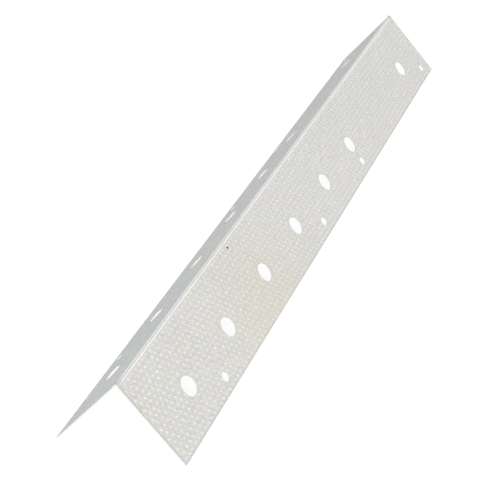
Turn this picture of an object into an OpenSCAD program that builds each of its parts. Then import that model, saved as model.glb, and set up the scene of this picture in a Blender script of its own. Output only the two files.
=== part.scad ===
// Drywall corner bead: one roll-formed strip of thin galvanised sheet, folded
// to two punched flanges with a small rounded nose between them.
// The piece rests like a tent: nose up, both free edges on the floor.
// X runs along the length, Z is up, and the section is the same all the way.

/* [Strip] */
// Length of the piece, mm
length = 305; // [60:1:3050]
// Width of each flange, from the sharp outer corner to the free edge, mm
flange_w = 31.75; // [30:0.25:45]
// Angle between the two flanges, degrees
flange_angle = 82; // [76:0.5:100]
// Thickness of the sheet, mm
sheet_t = 0.3; // [0.25:0.05:0.5]

/* [Nose] */
// Outer radius of the rounded nose, mm
nose_r = 0.95; // [0.8:0.05:1.2]
// Height of the nose above the plane of each flange's outer face, mm
nose_proud = 0.2; // [0.1:0.02:0.3]
// Outer radius of the hollow fillet between the nose and a flange, mm
nose_fillet_r = 0.4; // [0.3:0.05:0.8]

/* [Nail holes] */
// Diameter of a nail hole, mm
nail_d = 6.8; // [3:0.1:8]
// Distance of the nail holes from the sharp outer corner, mm
nail_v = 18.85; // [16:0.05:20]
// First nail hole, from the end at -X, mm
nail_first = 24.1; // [5:0.1:30]
// Spacing of the two nail holes of a pair, mm
nail_pair = 34.2; // [20:0.1:40]
// Spacing from one pair to the next, mm
nail_pairs_pitch = 69.9; // [60:0.1:80]
// Pairs punched in one turn of the punch roller
nail_pairs = 3; // [1:1:3]
// Length punched in one turn of the punch roller, mm
nail_repeat = 254.8; // [245:0.1:300]

/* [Key holes] */
// Diameter of a small key hole, mm
key_d = 3.35; // [2:0.05:3.5]
// Distance of the key holes from the sharp outer corner, mm
key_v = 27.2; // [26:0.05:27.5]
// First key hole, from the end at -X, mm
key_first = 40.4; // [5:0.1:45]
// Pitch of the key hole punches on their roller, mm
key_pitch = 52.4; // [40:0.1:60]
// Punches left out after the first one
key_skip = 1; // [0:1:2]
// Key holes punched in one turn of their roller
key_count = 3; // [1:1:3]
// Length punched in one turn of the key hole roller, mm
key_repeat = 256.4; // [245:0.1:300]

/* [Punching] */
// How far the holes of the flange at +Y lie nearer the end at -X than those at -Y, mm
row_lead = 1.3; // [0:0.1:3]
// Least sheet left between a hole's rim and an end of the strip, mm
end_land = 2; // [1:0.5:5]
// Length of a punch beyond both faces of the sheet, mm
punch_over = 2; // [1:0.5:4]

/* [Hidden] */
$fn = 64;
half_angle = flange_angle / 2;
apex_z = flange_w * cos(half_angle) + sheet_t * sin(half_angle); // sharp corner above the floor
nose_depth = (nose_r - nose_proud) / sin(half_angle); // nose centre below the sharp corner
nose_v = nose_depth * cos(half_angle); // nose centre, measured down a flange
nose_h = nose_proud - nose_r; // nose centre, measured out of a flange
blend = 6; // angle at which a fillet runs out into the nose and the flange, degrees
fillet_h = nose_fillet_r * cos(blend); // fillet centre, measured out of a flange
centres = sqrt(pow(nose_r, 2) + pow(nose_fillet_r, 2) + 2 * nose_r * nose_fillet_r * cos(blend));
fillet_v = nose_v + sqrt(pow(centres, 2) - pow(fillet_h - nose_h, 2));
nail_at = [
    for (x0 = [nail_first : nail_repeat : length])
        for (i = [0 : nail_pairs - 1])
            for (x = [x0 + i * nail_pairs_pitch, x0 + i * nail_pairs_pitch + nail_pair])
                x
];
key_at = [
    for (x0 = [key_first : key_repeat : length])
        for (i = [0 : key_count - 1])
            x0 + (i + (i > 0 ? key_skip : 0)) * key_pitch
];

// A point of the section: v down the flange from the sharp corner, h out of its outer face
function on_flange(v, h, side) = [
    side * (v * sin(half_angle) + h * cos(half_angle)),
    h * sin(half_angle) - v * cos(half_angle)
];

// The concave corner between the nose and a flange, filled up to the fillet
module nose_web(depth, side, run) {
    difference() {
        linear_extrude(height = run)
            polygon([
                on_flange(nose_v, nose_h, side),
                on_flange(fillet_v, fillet_h, side),
                on_flange(fillet_v, nose_h, side)
            ]);
        translate(on_flange(fillet_v, fillet_h, side))
            translate([0, 0, -punch_over])
                cylinder(r = nose_fillet_r + depth, h = run + 2 * punch_over);
    }
}

// All that lies under the sheet's face at this depth; z runs along the strip
module under_face(depth, width, run) {
    union() {
        linear_extrude(height = run)
            polygon([
                on_flange(nose_v, -depth, -1),
                on_flange(nose_v, -depth, 1),
                on_flange(width, -depth, 1),
                on_flange(width, -depth - nose_r, 1),
                on_flange(width, -depth - nose_r, -1),
                on_flange(width, -depth, -1)
            ]);
        translate(on_flange(nose_v, nose_h, 1))
            cylinder(r = nose_r - depth, h = run);
        nose_web(depth, 1, run);
        nose_web(depth, -1, run);
    }
}

// The folded strip without its holes, from z = 0, with the sharp outer corner on the z axis
module folded_strip() {
    difference() {
        under_face(0, flange_w, length);
        translate([0, 0, -punch_over])
            under_face(sheet_t, flange_w + nose_r, length + 2 * punch_over);
    }
}

// Punches for one flange, square to its sheet; one that comes too close to an end is left out
module punch_row(at, v, d, side) {
    lead = side > 0 ? row_lead : 0;
    land = d / 2 + end_land;
    for (x = at)
        if (x - lead > land && x - lead < length - land)
            translate([x - lead - length / 2, 0, apex_z])
                rotate([-side * (90 - half_angle), 0, 0])
                    translate([0, side * v, -sheet_t - punch_over])
                        cylinder(h = sheet_t + 2 * punch_over, d = d);
}

module corner_bead() {
    color([0.83, 0.83, 0.81])
        difference() {
            translate([-length / 2, 0, apex_z])
                rotate([90, 0, 90])
                    folded_strip();
            for (side = [-1, 1]) {
                punch_row(nail_at, nail_v, nail_d, side);
                punch_row(key_at, key_v, key_d, side);
            }
        }
}

corner_bead();
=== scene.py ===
import math
import random
import bmesh
import bpy
from mathutils import Matrix, Vector


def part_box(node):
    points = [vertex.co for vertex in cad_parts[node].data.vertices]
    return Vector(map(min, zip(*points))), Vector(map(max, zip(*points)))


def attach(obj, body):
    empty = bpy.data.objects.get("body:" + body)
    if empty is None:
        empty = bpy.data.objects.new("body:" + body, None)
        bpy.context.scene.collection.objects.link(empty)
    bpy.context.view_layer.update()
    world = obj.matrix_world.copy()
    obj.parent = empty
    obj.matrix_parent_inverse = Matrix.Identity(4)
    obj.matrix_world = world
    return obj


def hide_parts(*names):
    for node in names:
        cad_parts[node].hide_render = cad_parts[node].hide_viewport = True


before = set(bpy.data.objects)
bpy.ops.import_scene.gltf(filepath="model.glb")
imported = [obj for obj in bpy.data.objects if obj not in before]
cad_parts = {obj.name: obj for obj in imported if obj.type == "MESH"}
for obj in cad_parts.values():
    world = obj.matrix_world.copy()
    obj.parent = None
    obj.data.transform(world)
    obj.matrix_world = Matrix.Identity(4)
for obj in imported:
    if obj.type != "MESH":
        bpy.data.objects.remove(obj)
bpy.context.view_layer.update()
scene = bpy.context.scene
scene.view_settings.view_transform = "Standard"
low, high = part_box("corner_bead")
print("frame loaded:", sorted(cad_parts))

# folded strip, metres and degrees
strip = {
    "length": high.x - low.x,
    "angle": 82.0,           # between the flanges
    "sheet": 0.0003,
    "noseRadius": 0.00095,
    "noseProud": 0.0002,     # above the plane of a flange
    "filletRadius": 0.0004,
    "filletSteps": 3,
    # rows from a root of the nose to its top, 1 is a painted highlight at full strength
    "noseHighlightRows": (0.0, 0.9, 0.5, 0.0, 0.05, 0.45, 0.6),
    "bendEvery": 8,          # points kept along the edge that is bent
    "endSpare": 0.0015,      # sheared off square after forming
    "straight": 170.0,       # a point as open as this only splits its line
    "sharp": 50.0,           # edges that turn more are shaded sharp
}
half = math.radians(strip["angle"] / 2)
flange = high.y / math.sin(half)                       # sharp corner to free edge
corner = Vector((0, 0, flange * math.cos(half) + strip["sheet"] * math.sin(half)))
closeness = {"same": 1e-6, "onPlane": 1e-7, "afterCut": 3e-7}   # points that count as one

# knurl pressed into both flanges from outside
knurl = {
    "pitch": 0.0026,         # along a row
    "rowPitch": 0.00189,
    "firstDent": 0.00002,    # from the near end
    "firstRow": 0.00225,     # from the sharp corner
    "rowPairs": 10,
    "spare": 2,              # dents and rows that lie before the first ones
    "dentAlong": 0.0006,     # half sizes of a dent
    "dentAcross": 0.00067,
    "dentDepth": 0.00036,
    "dentInset": 0.0001,     # before the rim gets its own size
    "backBump": 0.00012,
    # a dent's rim is painted lighter this much: partly burnish, partly painted glint
    "rimShine": 0.3,
    "pitShine": 0.9,         # only the bottom of a dent is painted lightest and polished most
    "unevenDepth": 0.35,     # share of the depth
    "unevenPlace": 0.00014,
    "cutClear": 0.00004,
    "seed": 12,
}

# punching, places from the near end
punching = {
    "nail": {
        "at": (0.0241, 0.0583, 0.0940, 0.1282, 0.1639, 0.1981, 0.2789),
        "fromCorner": 0.01885,
        "radius": 0.0034,
    },
    "key": {
        "at": (0.0404, 0.1452, 0.1976, 0.2968),
        "fromCorner": 0.0272,
        "radius": 0.001675,
    },
    "leftLead": 0.0013,      # the left flange's holes lie nearer the near end
    "sides": 48,
    "reach": 0.004,          # length of a punch
}
shear = {"thick": 0.01, "wide": 0.06, "tall": 0.04, "lift": 0.01}   # blades for the ends
finishSlots = {"sheared": 1, "punched": 2}                          # the sheet itself is 0


def applied(obj):
    # the mesh with its modifiers, as a new bmesh
    graph = bpy.context.evaluated_depsgraph_get()
    mesh = bpy.data.meshes.new_from_object(obj.evaluated_get(graph))
    bm = bmesh.new()
    bm.from_mesh(mesh)
    bpy.data.meshes.remove(mesh)
    return bm


def meshObject(bm, name, finishes=()):
    mesh = bpy.data.meshes.new(name)
    bm.to_mesh(mesh)
    bm.free()
    for finish in finishes:
        mesh.materials.append(finish)
    obj = bpy.data.objects.new(name, mesh)
    scene.collection.objects.link(obj)
    return obj


def dropObject(obj):
    mesh = obj.data
    bpy.data.objects.remove(obj)
    bpy.data.meshes.remove(mesh)


def allOf(bm):
    return bm.verts[:] + bm.edges[:] + bm.faces[:]


def flangeAxes(side):
    # down a flange, and out of its outer face
    down = Vector((0, side * math.sin(half), -math.cos(half)))
    out = Vector((0, side * math.cos(half), math.sin(half)))
    return down, out


def onFlange(place):
    # side, distance down from the sharp corner, height above the outer face
    side = 1 if place.y > 0 else -1
    down, out = flangeAxes(side)
    return side, (place - corner).dot(down), (place - corner).dot(out)


def holes(side):
    # place along the strip, distance down the flange, radius
    lead = punching["leftLead"] if side > 0 else 0.0
    for row in (punching["nail"], punching["key"]):
        for at in row["at"]:
            yield at - lead - strip["length"] / 2, row["fromCorner"], row["radius"]


def dentCell(bm, pressed, across, down):
    # eight-sided cell that tiles a staggered grid, with one dent
    others = set(bm.verts)
    reach = knurl["pitch"] / 2
    border = bmesh.ops.create_circle(bm, cap_ends=True, segments=8, radius=1.0)["verts"]
    for v in border:
        x = v.co.x * reach / math.sqrt(0.5)
        y = v.co.y * knurl["rowPitch"] / (1 + math.sqrt(0.5))
        v.co = (max(-reach, min(reach, x)), y, 0.0)
    face = border[0].link_faces[:]
    face[0].normal_update()
    if face[0].normal.z < 0:
        bmesh.ops.reverse_faces(bm, faces=face)
    bmesh.ops.inset_individual(bm, faces=face, thickness=knurl["dentInset"])
    for v in face[0].verts:
        way = v.co.normalized()
        v.co = (way.x * knurl["dentAlong"], way.y * knurl["dentAcross"], 0.0)
        v[pressed] = knurl["rimShine"]
    for e in face[0].edges:
        e.smooth = False
    pit = bmesh.ops.poke(bm, faces=face)["verts"][0]
    pit.co.z = -knurl["dentDepth"]
    pit[pressed] = 1.0
    cell = [v for v in bm.verts if v not in others]
    bmesh.ops.translate(bm, verts=cell, vec=(across, down, 0.0))


def knurledSheet():
    # one flange laid flat: x along the strip, y down from the sharp corner
    pitch, rowPitch, spare = knurl["pitch"], knurl["rowPitch"], knurl["spare"]
    bm = bmesh.new()
    pressed = bm.verts.layers.float.new("pressed")
    # mask of the painted highlight along the nose, 0 to 1
    bm.verts.layers.float.new("paintedHighlight")
    dentCell(bm, pressed, 0.0, 0.0)
    dentCell(bm, pressed, pitch / 2, rowPitch)
    tile = meshObject(bm, "knurlTile")
    columns = int(strip["length"] / pitch) + 2 * spare
    for name, count, offset in (
        ("along", columns, (pitch, 0.0, 0.0)),
        ("across", knurl["rowPairs"], (0.0, 2 * rowPitch, 0.0)),
    ):
        rows = tile.modifiers.new(name, "ARRAY")
        rows.count = count
        rows.use_relative_offset = False
        rows.use_constant_offset = True
        rows.constant_offset_displace = offset
        rows.use_merge_vertices = True
        rows.merge_threshold = closeness["same"]
    bm = applied(tile)
    dropObject(tile)
    start = knurl["firstDent"] - spare * pitch - strip["length"] / 2
    top = knurl["firstRow"] - spare * rowPitch
    bmesh.ops.translate(bm, verts=bm.verts, vec=(start, top, 0.0))
    bmesh.ops.remove_doubles(bm, verts=bm.verts, dist=closeness["same"])
    chance = random.Random(knurl["seed"])
    for pit in [v for v in bm.verts if v.co.z < -closeness["same"]]:
        pit.co.z *= 1 - knurl["unevenDepth"] * chance.random()
        pit.co.x += chance.uniform(-1, 1) * knurl["unevenPlace"]
        pit.co.y += chance.uniform(-1, 1) * knurl["unevenPlace"]
    return bm


def filletStart():
    # where a flange's flat begins, a fillet's turn, and the nose's centre below the corner
    centre = (strip["noseRadius"] - strip["noseProud"]) / math.sin(half)
    rise = strip["filletRadius"] + strip["noseRadius"] - strip["noseProud"]
    run = math.sqrt((strip["noseRadius"] + strip["filletRadius"]) ** 2 - rise**2)
    return centre * math.cos(half) + run, math.atan2(run, rise), centre


def cutSheet(bm, flat):
    reach = strip["length"] / 2 + strip["endSpare"]
    for co, no in (
        ((-reach, 0, 0), (-1, 0, 0)),
        ((reach, 0, 0), (1, 0, 0)),
        ((0, flange, 0), (0, 1, 0)),
        ((0, flat, 0), (0, -1, 0)),
    ):
        bmesh.ops.bisect_plane(
            bm, geom=allOf(bm), dist=closeness["onPlane"],
            plane_co=co, plane_no=no, clear_outer=True,
        )

    def onBend(v):
        return abs(v.co.y - flat) < closeness["same"]

    # fewer points along the edge that is bent
    edge = sorted((v for v in bm.verts if onBend(v)), key=lambda v: v.co.x)
    spare = [v for i, v in enumerate(edge[1:-1]) if i % strip["bendEvery"]]
    bmesh.ops.dissolve_verts(bm, verts=spare)
    return [v for v in bm.verts if onBend(v)]


def keepFlat(bm):
    # no dent on a cut line or on a hole's rim
    pressed = bm.verts.layers.float["pressed"]
    clear = max(knurl["dentAlong"], knurl["dentAcross"]) + knurl["cutClear"]
    for pit in [v for v in bm.verts if v[pressed] > knurl["pitShine"]]:
        side, down, height = onFlange(pit.co)
        gaps = [
            abs(math.hypot(pit.co.x - x, down - y) - radius)
            for x, y, radius in holes(side)
        ]
        gaps.append(abs(abs(pit.co.x) - strip["length"] / 2))
        if min(gaps) < clear:
            pit.co -= flangeAxes(side)[1] * height
            for v in [pit] + [e.other_vert(pit) for e in pit.link_edges]:
                v[pressed] = 0.0


def foldedStrip():
    flat, turn, noseDown = filletStart()
    bm = knurledSheet()
    edge = cutSheet(bm, flat)
    down, out = flangeAxes(1)
    lay = Matrix((Vector((1, 0, 0)), down, out)).transposed().to_4x4()
    lay.translation = corner
    bmesh.ops.transform(bm, matrix=lay, verts=bm.verts)
    lip = edge + [e for e in bm.edges if e.verts[0] in edge and e.verts[1] in edge]
    filletCentre = corner + down * flat + out * strip["filletRadius"]
    noseCentre = corner - Vector((0, 0, noseDown))
    # strength of the painted highlight on each row of the nose
    paintedHighlight = bm.verts.layers.float["paintedHighlight"]
    rest = math.radians(90) - (half - turn)
    for centre, angle, rows in (
        (filletCentre, -turn, (0.0,) * strip["filletSteps"]),
        (noseCentre, rest, strip["noseHighlightRows"]),
    ):
        for rowHighlight in rows:
            bent = bmesh.ops.spin(
                bm, geom=lip, cent=centre, axis=(1, 0, 0), angle=angle / len(rows), steps=1,
            )
            lip = bent["geom_last"]
            row = [v for v in lip if isinstance(v, bmesh.types.BMVert)]
            for v in row:
                v[paintedHighlight] = rowHighlight
    # the last row is the ridge of the nose
    for v in row:
        v.co.y = 0.0
    bmesh.ops.mirror(
        bm, geom=allOf(bm), matrix=Matrix.Identity(4), merge_dist=closeness["same"], axis="Y",
    )
    bmesh.ops.recalc_face_normals(bm, faces=bm.faces)
    top = max(bm.faces, key=lambda f: f.calc_center_median().z)
    if top.normal.z < 0:
        bmesh.ops.reverse_faces(bm, faces=bm.faces)
    keepFlat(bm)
    print("folded strip:", len(bm.faces), "faces")
    return bm


def flattenBack(bm):
    # a dent shows behind the sheet only as a low bump
    pressed = bm.verts.layers.float["pressed"]
    for v in bm.verts:
        if v[pressed] > knurl["pitShine"]:
            side, down, height = onFlange(v.co)
            out = flangeAxes(side)[1]
            behind = height + strip["sheet"]
            if behind < -closeness["same"] and v.normal.dot(out) < 0:
                v.co += out * (-knurl["backBump"] - behind)


def spareOnCut(v):
    # a point that only splits a nearly straight cut line
    if len(v.link_edges) != 2:
        return False
    first, second = (e.other_vert(v).co - v.co for e in v.link_edges)
    return first.angle(second) > math.radians(strip["straight"])


def punches(finishes):
    bm = bmesh.new()
    for side in (-1, 1):
        down, out = flangeAxes(side)
        turn = out.to_track_quat("Z", "X").to_matrix().to_4x4()
        for along, fromCorner, radius in holes(side):
            place = corner + Vector((along, 0, 0)) + down * fromCorner
            bmesh.ops.create_cone(
                bm, cap_ends=True, segments=punching["sides"], radius1=radius, radius2=radius,
                depth=punching["reach"], matrix=Matrix.Translation(place) @ turn,
            )
    for f in bm.faces:
        f.material_index = finishSlots["punched"]
    # both ends are sheared square
    size = Matrix.Diagonal((shear["thick"], shear["wide"], shear["tall"], 1))
    for end in (-1, 1):
        place = Vector((end * (strip["length"] / 2 + shear["thick"] / 2), 0, shear["lift"]))
        shape = Matrix.Translation(place) @ size
        cube = bmesh.ops.create_cube(bm, size=1.0, matrix=shape)["verts"]
        for f in {f for v in cube for f in v.link_faces}:
            f.material_index = finishSlots["sheared"]
    return meshObject(bm, "punches", finishes)


def makeBead(*finishes):
    blank = meshObject(foldedStrip(), "beadBlank", finishes)
    wall = blank.modifiers.new("wall", "SOLIDIFY")
    wall.thickness = strip["sheet"]
    wall.offset = -1.0
    wall.use_even_offset = True
    wall.material_offset_rim = finishSlots["sheared"]
    wrought = applied(blank)
    dropObject(blank)
    flattenBack(wrought)
    blank = meshObject(wrought, "beadBlank", finishes)
    cutters = punches(finishes)
    cut = blank.modifiers.new("holes", "BOOLEAN")
    cut.operation = "DIFFERENCE"
    cut.solver = "EXACT"
    cut.material_mode = "TRANSFER"
    cut.object = cutters
    bm = applied(blank)
    dropObject(blank)
    dropObject(cutters)
    bmesh.ops.remove_doubles(bm, verts=bm.verts, dist=closeness["afterCut"])
    bmesh.ops.dissolve_verts(bm, verts=[v for v in bm.verts if spareOnCut(v)])
    sharp = math.radians(strip["sharp"])
    for e in bm.edges:
        if len(e.link_faces) == 2 and e.calc_face_angle() > sharp:
            e.smooth = False
    for f in bm.faces:
        f.smooth = True
    bead = meshObject(bm, "knurledBead", finishes)
    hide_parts("corner_bead")
    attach(bead, "root")
    bead.data.calc_loop_triangles()
    print("knurled bead:", len(bead.data.loop_triangles), "triangles")


viewpoint = {
    "place": (-0.45359, -0.15105, 0.26104),
    "aim": (-0.015218, 0.012583, -0.005389),
    "roll": -1.228,          # degrees
    "lens": 107.748,         # mm
    "sensor": 36.0,
    "nearest": 0.01,
}


def addCamera():
    data = bpy.data.cameras.new("photoCamera")
    data.sensor_width = viewpoint["sensor"]
    data.lens = viewpoint["lens"]
    data.clip_start = viewpoint["nearest"]
    camera = bpy.data.objects.new("photoCamera", data)
    scene.collection.objects.link(camera)
    place = Vector(viewpoint["place"])
    look = (Vector(viewpoint["aim"]) - place).to_track_quat("-Z", "Y").to_matrix().to_4x4()
    turn = Matrix.Rotation(math.radians(viewpoint["roll"]), 4, "Z")
    camera.matrix_world = Matrix.Translation(place) @ look @ turn
    scene.camera = camera
    print("camera placed")


def reckoned(tree, operation, *values):
    node = tree.nodes.new("ShaderNodeMath")
    node.operation = operation
    for i, value in enumerate(values):
        tree.links.new(value, node.inputs[i])
    return node.outputs[0]


def mixed(tree, amount, first, second):
    # two colours, each a value or a socket
    node = tree.nodes.new("ShaderNodeMix")
    node.data_type = "RGBA"
    # the node's colour sockets come after those for numbers and vectors
    for socket, value in ((0, amount), (6, first), (7, second)):
        if isinstance(value, bpy.types.NodeSocket):
            tree.links.new(value, node.inputs[socket])
        else:
            node.inputs[socket].default_value = value
    return node.outputs[2]


def spanned(tree, value, toLow, toHigh, fromLow=0.0, fromHigh=1.0):
    node = tree.nodes.new("ShaderNodeMapRange")
    node.inputs["From Min"].default_value = fromLow
    node.inputs["From Max"].default_value = fromHigh
    node.inputs["To Min"].default_value = toLow
    node.inputs["To Max"].default_value = toHigh
    tree.links.new(value, node.inputs["Value"])
    return node.outputs[0]


def noised(tree, where, scale):
    node = tree.nodes.new("ShaderNodeTexNoise")
    node.inputs["Scale"].default_value = scale
    tree.links.new(where, node.inputs["Vector"])
    return node


studio = {
    "floorSize": 6.0,
    "floorColor": (0.86, 0.86, 0.86, 1.0),     # as the strip is lit by it
    "shadowColor": (0.08, 0.08, 0.08, 1.0),    # what the floor's own light is added to
    "white": (1.0, 1.0, 1.0, 1.0),
    "floorWhite": 0.955,
    "horizonWhite": 0.99,                      # as the floor looks with its own light
    "skyColor": (0.93, 0.985, 1.0, 1.0),
    "skyLight": 0.52,
}
lamps = {
    "key": {
        "place": (-0.6, -3.2, 1.3), "size": 1.5,
        "watts": 50.5, "color": (1.0, 0.962, 0.915),
    },
    "fill": {
        "place": (-0.75, 0.45, 0.42), "size": 0.4,
        "watts": 1.9, "color": (0.78, 0.965, 1.0),
    },
    # just above the plane of the left flange, for the walls of its holes
    "front": {
        "place": (-4.07, -1.53, 2.24), "size": 0.45,
        "watts": 105.0, "color": (1.0, 0.98, 0.95),
    },
}


def seenAsBackground(tree):
    # 1 for rays that look at the background straight on, in a mirror or through glass
    path = tree.nodes.new("ShaderNodeLightPath").outputs
    seen = reckoned(tree, "MAXIMUM", path["Is Camera Ray"], path["Is Glossy Ray"])
    return reckoned(tree, "MAXIMUM", seen, path["Is Transmission Ray"])


def addFloor():
    bm = bmesh.new()
    bmesh.ops.create_grid(bm, x_segments=1, y_segments=1, size=studio["floorSize"] / 2)
    floor = meshObject(bm, "floor")
    mat = bpy.data.materials.new("paleFloor")
    mat.use_nodes = True
    nodes, links = mat.node_tree.nodes, mat.node_tree.links
    paint = nodes["Principled BSDF"]
    paint.inputs["Base Color"].default_value = studio["shadowColor"]
    paint.inputs["Roughness"].default_value = 1.0
    paint.inputs["Specular IOR Level"].default_value = 0.0
    paint.inputs["Emission Color"].default_value = studio["white"]
    paint.inputs["Emission Strength"].default_value = studio["floorWhite"]
    bounce = nodes.new("ShaderNodeBsdfDiffuse")
    bounce.inputs["Color"].default_value = studio["floorColor"]
    mix = nodes.new("ShaderNodeMixShader")
    links.new(seenAsBackground(mat.node_tree), mix.inputs[0])
    links.new(bounce.outputs[0], mix.inputs[1])
    links.new(paint.outputs[0], mix.inputs[2])
    links.new(mix.outputs[0], nodes["Material Output"].inputs["Surface"])
    floor.data.materials.append(mat)
    print("floor laid")


def addLight():
    world = bpy.data.worlds.new("studioWorld")
    scene.world = world
    world.use_nodes = True
    nodes, links = world.node_tree.nodes, world.node_tree.links
    sky = nodes["Background"]
    sky.inputs["Color"].default_value = studio["skyColor"]
    sky.inputs["Strength"].default_value = studio["skyLight"]
    horizon = nodes.new("ShaderNodeBackground")
    horizon.inputs["Color"].default_value = studio["white"]
    horizon.inputs["Strength"].default_value = studio["horizonWhite"]
    mix = nodes.new("ShaderNodeMixShader")
    links.new(seenAsBackground(world.node_tree), mix.inputs[0])
    links.new(sky.outputs[0], mix.inputs[1])
    links.new(horizon.outputs[0], mix.inputs[2])
    links.new(mix.outputs[0], nodes["World Output"].inputs["Surface"])
    for name, lamp in lamps.items():
        data = bpy.data.lights.new(name + "Light", "AREA")
        data.size = lamp["size"]
        data.energy = lamp["watts"]
        data.color = lamp["color"]
        obj = bpy.data.objects.new(name + "Light", data)
        place = Vector(lamp["place"])
        look = (-place).to_track_quat("-Z", "Y").to_matrix().to_4x4()
        obj.matrix_world = Matrix.Translation(place) @ look
        scene.collection.objects.link(obj)
    print("lights set")


def grainGroup():
    # thick and thin zinc, and its crystals
    group = bpy.data.node_groups.new("zincGrain", "ShaderNodeTree")
    for name, kind in (
        ("Cloud Scale", "INPUT"), ("Crystal Scale", "INPUT"),
        ("Cloud", "OUTPUT"), ("Crystal", "OUTPUT"), ("Gloss", "OUTPUT"),
    ):
        group.interface.new_socket(name, in_out=kind, socket_type="NodeSocketFloat")
    given, made = group.nodes.new("NodeGroupInput"), group.nodes.new("NodeGroupOutput")
    where = group.nodes.new("ShaderNodeTexCoord").outputs["Object"]
    cloud = noised(group, where, 1.0)
    crystal = group.nodes.new("ShaderNodeTexVoronoi")
    split = group.nodes.new("ShaderNodeSeparateColor")
    group.links.new(given.outputs["Cloud Scale"], cloud.inputs["Scale"])
    group.links.new(given.outputs["Crystal Scale"], crystal.inputs["Scale"])
    group.links.new(where, crystal.inputs["Vector"])
    group.links.new(crystal.outputs["Color"], split.inputs[0])
    # most of the noise lies between these two
    clouded = spanned(group, cloud.outputs["Fac"], 0.0, 1.0, 0.3, 0.7)
    group.links.new(clouded, made.inputs["Cloud"])
    group.links.new(split.outputs[0], made.inputs["Crystal"])
    group.links.new(split.outputs[1], made.inputs["Gloss"])
    return group


def zincMaterial(name, grain, finish):
    # a shader with the grain placed, for the sheet and for its cut edges
    mat = bpy.data.materials.new(name)
    mat.use_nodes = True
    tree = mat.node_tree
    shader = tree.nodes["Principled BSDF"]
    shader.inputs["Metallic"].default_value = finish["metallic"]
    shader.inputs["Specular IOR Level"].default_value = finish["specular"]
    node = tree.nodes.new("ShaderNodeGroup")
    node.node_tree = grain
    node.inputs["Cloud Scale"].default_value = finish["cloudScale"]
    node.inputs["Crystal Scale"].default_value = finish["crystalScale"]
    coat = mixed(tree, node.outputs["Cloud"], finish["thin"], finish["thick"])
    dull = spanned(tree, node.outputs["Gloss"], finish["smooth"], finish["rough"])
    return mat, shader, node, coat, dull


galvanised = {
    "metallic": 0.2,
    "specular": 0.1,
    "cloudScale": 55.0,
    "crystalScale": 420.0,
    "smooth": 0.46,
    "rough": 0.54,
    "thin": (0.657, 0.643, 0.617, 1.0),
    "thick": (0.688, 0.667, 0.642, 1.0),
    "crystal": (0.66, 0.655, 0.64, 1.0),
    # dark colour of the painted shade strokes, and of the darker free edges and cut ends
    "line": (0.31, 0.31, 0.31, 1.0),
    # colour of the dents' burnish and painted glint
    "burnishAndGlintColor": (0.92, 0.92, 0.93, 1.0),
    # colour of the painted highlight on the nose
    "noseHighlightColor": (0.95, 0.95, 0.96, 1.0),
    "tint": 0.07,                            # faint colours of the coat
    "tintScale": 230.0,
    "spangle": 0.15,
    # strength of the painted shade strokes
    "stroke": 0.36,
    "strokeSize": (0.0019, 0.00045, 0.002),  # along the knurl's diagonals, across, through
    "strokeSpan": (0.35, 0.65),              # part of the noise that is used
    # dents painted lighter: partly burnish, partly painted glint
    "burnishAndGlint": 0.28,
    "edgeDarkening": 0.4,                           # darker along the free edges and the cut ends
    "edgeDarkeningWide": 0.0007,
    "polish": 0.12,
}
# marks on the right flange, places from the near end and the sharp corner
marks = {
    "stain": {
        "along": 0.085, "down": 0.031, "solid": 0.0, "edge": 0.042,
        "amount": 0.42, "color": (0.615, 0.585, 0.465, 1.0),
    },
    "speck": {
        "along": 0.0862, "down": 0.0030, "solid": 0.00036, "edge": 0.0005,
        "amount": 1.0, "color": (0.010, 0.008, 0.018, 1.0),
    },
}


def knurlShadeStrokes(tree, where):
    # dark strokes along the knurl's diagonals, painted shade between the dents
    down, out = flangeAxes(-1)
    along = (Vector((knurl["pitch"] / 2, 0, 0)) + down * knurl["rowPitch"]).normalized()
    turn = Matrix((along, out.cross(along), out)).transposed()
    place = tree.nodes.new("ShaderNodeMapping")
    place.vector_type = "TEXTURE"
    place.inputs["Rotation"].default_value = turn.to_euler()
    place.inputs["Scale"].default_value = galvanised["strokeSize"]
    tree.links.new(where, place.inputs["Vector"])
    stroke = noised(tree, place.outputs[0], 1.0)
    return spanned(
        tree, stroke.outputs["Fac"], 0.0, galvanised["stroke"], *galvanised["strokeSpan"],
    )


def nearRim(tree, where):
    # darker colour, most on the strip's free edges and cut ends, 0 a little way in
    parts = tree.nodes.new("ShaderNodeSeparateXYZ")
    tree.links.new(where, parts.inputs[0])
    fromMiddle = reckoned(tree, "ABSOLUTE", parts.outputs["X"])
    end = strip["length"] / 2
    foot = strip["sheet"] * math.sin(half)
    wide = galvanised["edgeDarkeningWide"]
    ends = spanned(tree, fromMiddle, 0.0, 1.0, end - wide, end)
    free = spanned(tree, parts.outputs["Z"], 1.0, 0.0, foot, foot + wide * math.cos(half))
    return spanned(tree, reckoned(tree, "MAXIMUM", ends, free), 0.0, galvanised["edgeDarkening"])


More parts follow.
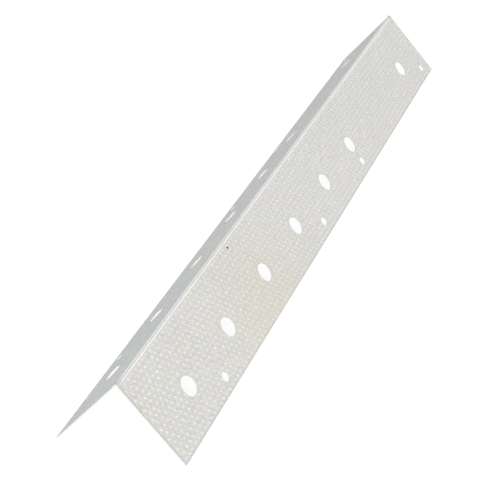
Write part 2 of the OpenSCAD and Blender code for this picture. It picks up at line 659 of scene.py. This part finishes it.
def sheetMaterial(grain):
    mat, shader, node, coat, dull = zincMaterial("galvanisedSheet", grain, galvanised)
    tree = mat.node_tree
    where = tree.nodes.new("ShaderNodeTexCoord").outputs["Object"]
    masks = {}
    # the dents' mask, and the mask of the painted highlight on the nose
    for name in ("pressed", "paintedHighlight"):
        mask = tree.nodes.new("ShaderNodeAttribute")
        mask.attribute_name = name
        masks[name] = mask.outputs["Fac"]
    tint = noised(tree, where, galvanised["tintScale"])
    coat = mixed(tree, galvanised["tint"], coat, tint.outputs["Color"])
    crystals = spanned(tree, node.outputs["Crystal"], 0.0, galvanised["spangle"])
    coat = mixed(tree, crystals, coat, galvanised["crystal"])
    # painted shade strokes between the dents
    coat = mixed(tree, knurlShadeStrokes(tree, where), coat, galvanised["line"])
    # dents painted lighter: partly burnish, partly painted glint
    burnishAndGlintMask = spanned(tree, masks["pressed"], 0.0, galvanised["burnishAndGlint"])
    coat = mixed(tree, burnishAndGlintMask, coat, galvanised["burnishAndGlintColor"])
    # painted highlight along the nose
    coat = mixed(tree, masks["paintedHighlight"], coat, galvanised["noseHighlightColor"])
    # darker along the free edges and the cut ends
    coat = mixed(tree, nearRim(tree, where), coat, galvanised["line"])
    for mark in marks.values():
        away = tree.nodes.new("ShaderNodeVectorMath")
        away.operation = "DISTANCE"
        along = Vector((mark["along"] - strip["length"] / 2, 0, 0))
        away.inputs[1].default_value = corner + along + flangeAxes(-1)[0] * mark["down"]
        tree.links.new(where, away.inputs[0])
        distance = away.outputs["Value"]
        dirt = spanned(tree, distance, mark["amount"], 0.0, mark["solid"], mark["edge"])
        coat = mixed(tree, dirt, coat, mark["color"])
    tree.links.new(coat, shader.inputs["Base Color"])
    polish = spanned(tree, masks["pressed"], 0.0, galvanised["polish"])
    tree.links.new(reckoned(tree, "SUBTRACT", dull, polish), shader.inputs["Roughness"])
    return mat


shearedEnds = {
    "metallic": 0.3,
    "specular": 0.1,
    "cloudScale": 900.0,
    "crystalScale": 2500.0,
    "smooth": 0.35,
    "rough": 0.55,
    "thin": (0.56, 0.56, 0.55, 1.0),
    "thick": (0.68, 0.68, 0.67, 1.0),
}
# hole walls near white: partly bare cut metal, partly painted glint
punchedRims = {
    "metallic": 0.0,
    "specular": 0.5,
    "cloudScale": 900.0,
    "crystalScale": 2500.0,
    "smooth": 0.42,
    "rough": 0.58,
    "thin": (0.95, 0.95, 0.94, 1.0),
    "thick": (0.99, 0.99, 0.98, 1.0),
}


def edgeMaterial(name, grain, finish):
    mat, shader, node, coat, dull = zincMaterial(name, grain, finish)
    mat.node_tree.links.new(coat, shader.inputs["Base Color"])
    mat.node_tree.links.new(dull, shader.inputs["Roughness"])
    return mat


addCamera()
addFloor()
addLight()
grain = grainGroup()
makeBead(
    sheetMaterial(grain),
    edgeMaterial("shearedEnds", grain, shearedEnds),
    edgeMaterial("punchedRims", grain, punchedRims),
)
